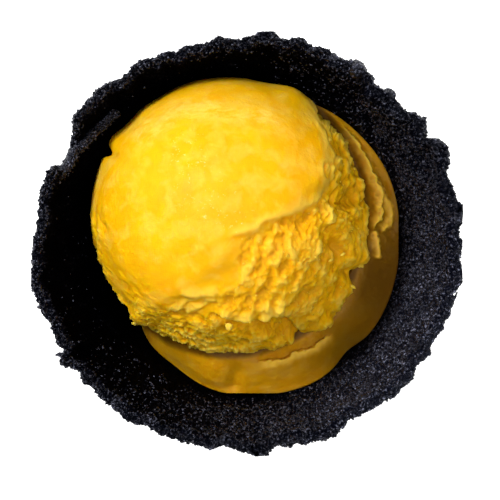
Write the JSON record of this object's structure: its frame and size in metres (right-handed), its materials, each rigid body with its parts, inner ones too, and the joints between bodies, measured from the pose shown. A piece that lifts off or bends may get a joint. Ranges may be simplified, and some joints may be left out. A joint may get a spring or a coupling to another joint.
{
  "type": "sorbet cup",
  "caption": "Round scoop of yellow sorbet with a torn side, set in pressed sorbet inside a black rolled wafer cup with a ragged rim and a flat foot.",
  "frame": {"origin": "middle of the cup's flat foot, on the surface that it stands on", "axes": "+Z up along the cup's axis, +X to the right and +Y up in a view from above that has the wafer's overlap at the upper left"},
  "size_m": [0.0881, 0.0865, 0.071],
  "materials": {
    "black_wafer": "baked black wafer with a fine glossy grain",
    "yellow_sorbet": "frozen sorbet, soft gloss on the smooth cap and matt where it is torn"
  },
  "bodies": {
    "root": {"wafer_cup": "black_wafer", "sorbet_scoop": "yellow_sorbet", "sorbet_fill": "yellow_sorbet"}
  },
  "joints": []
}
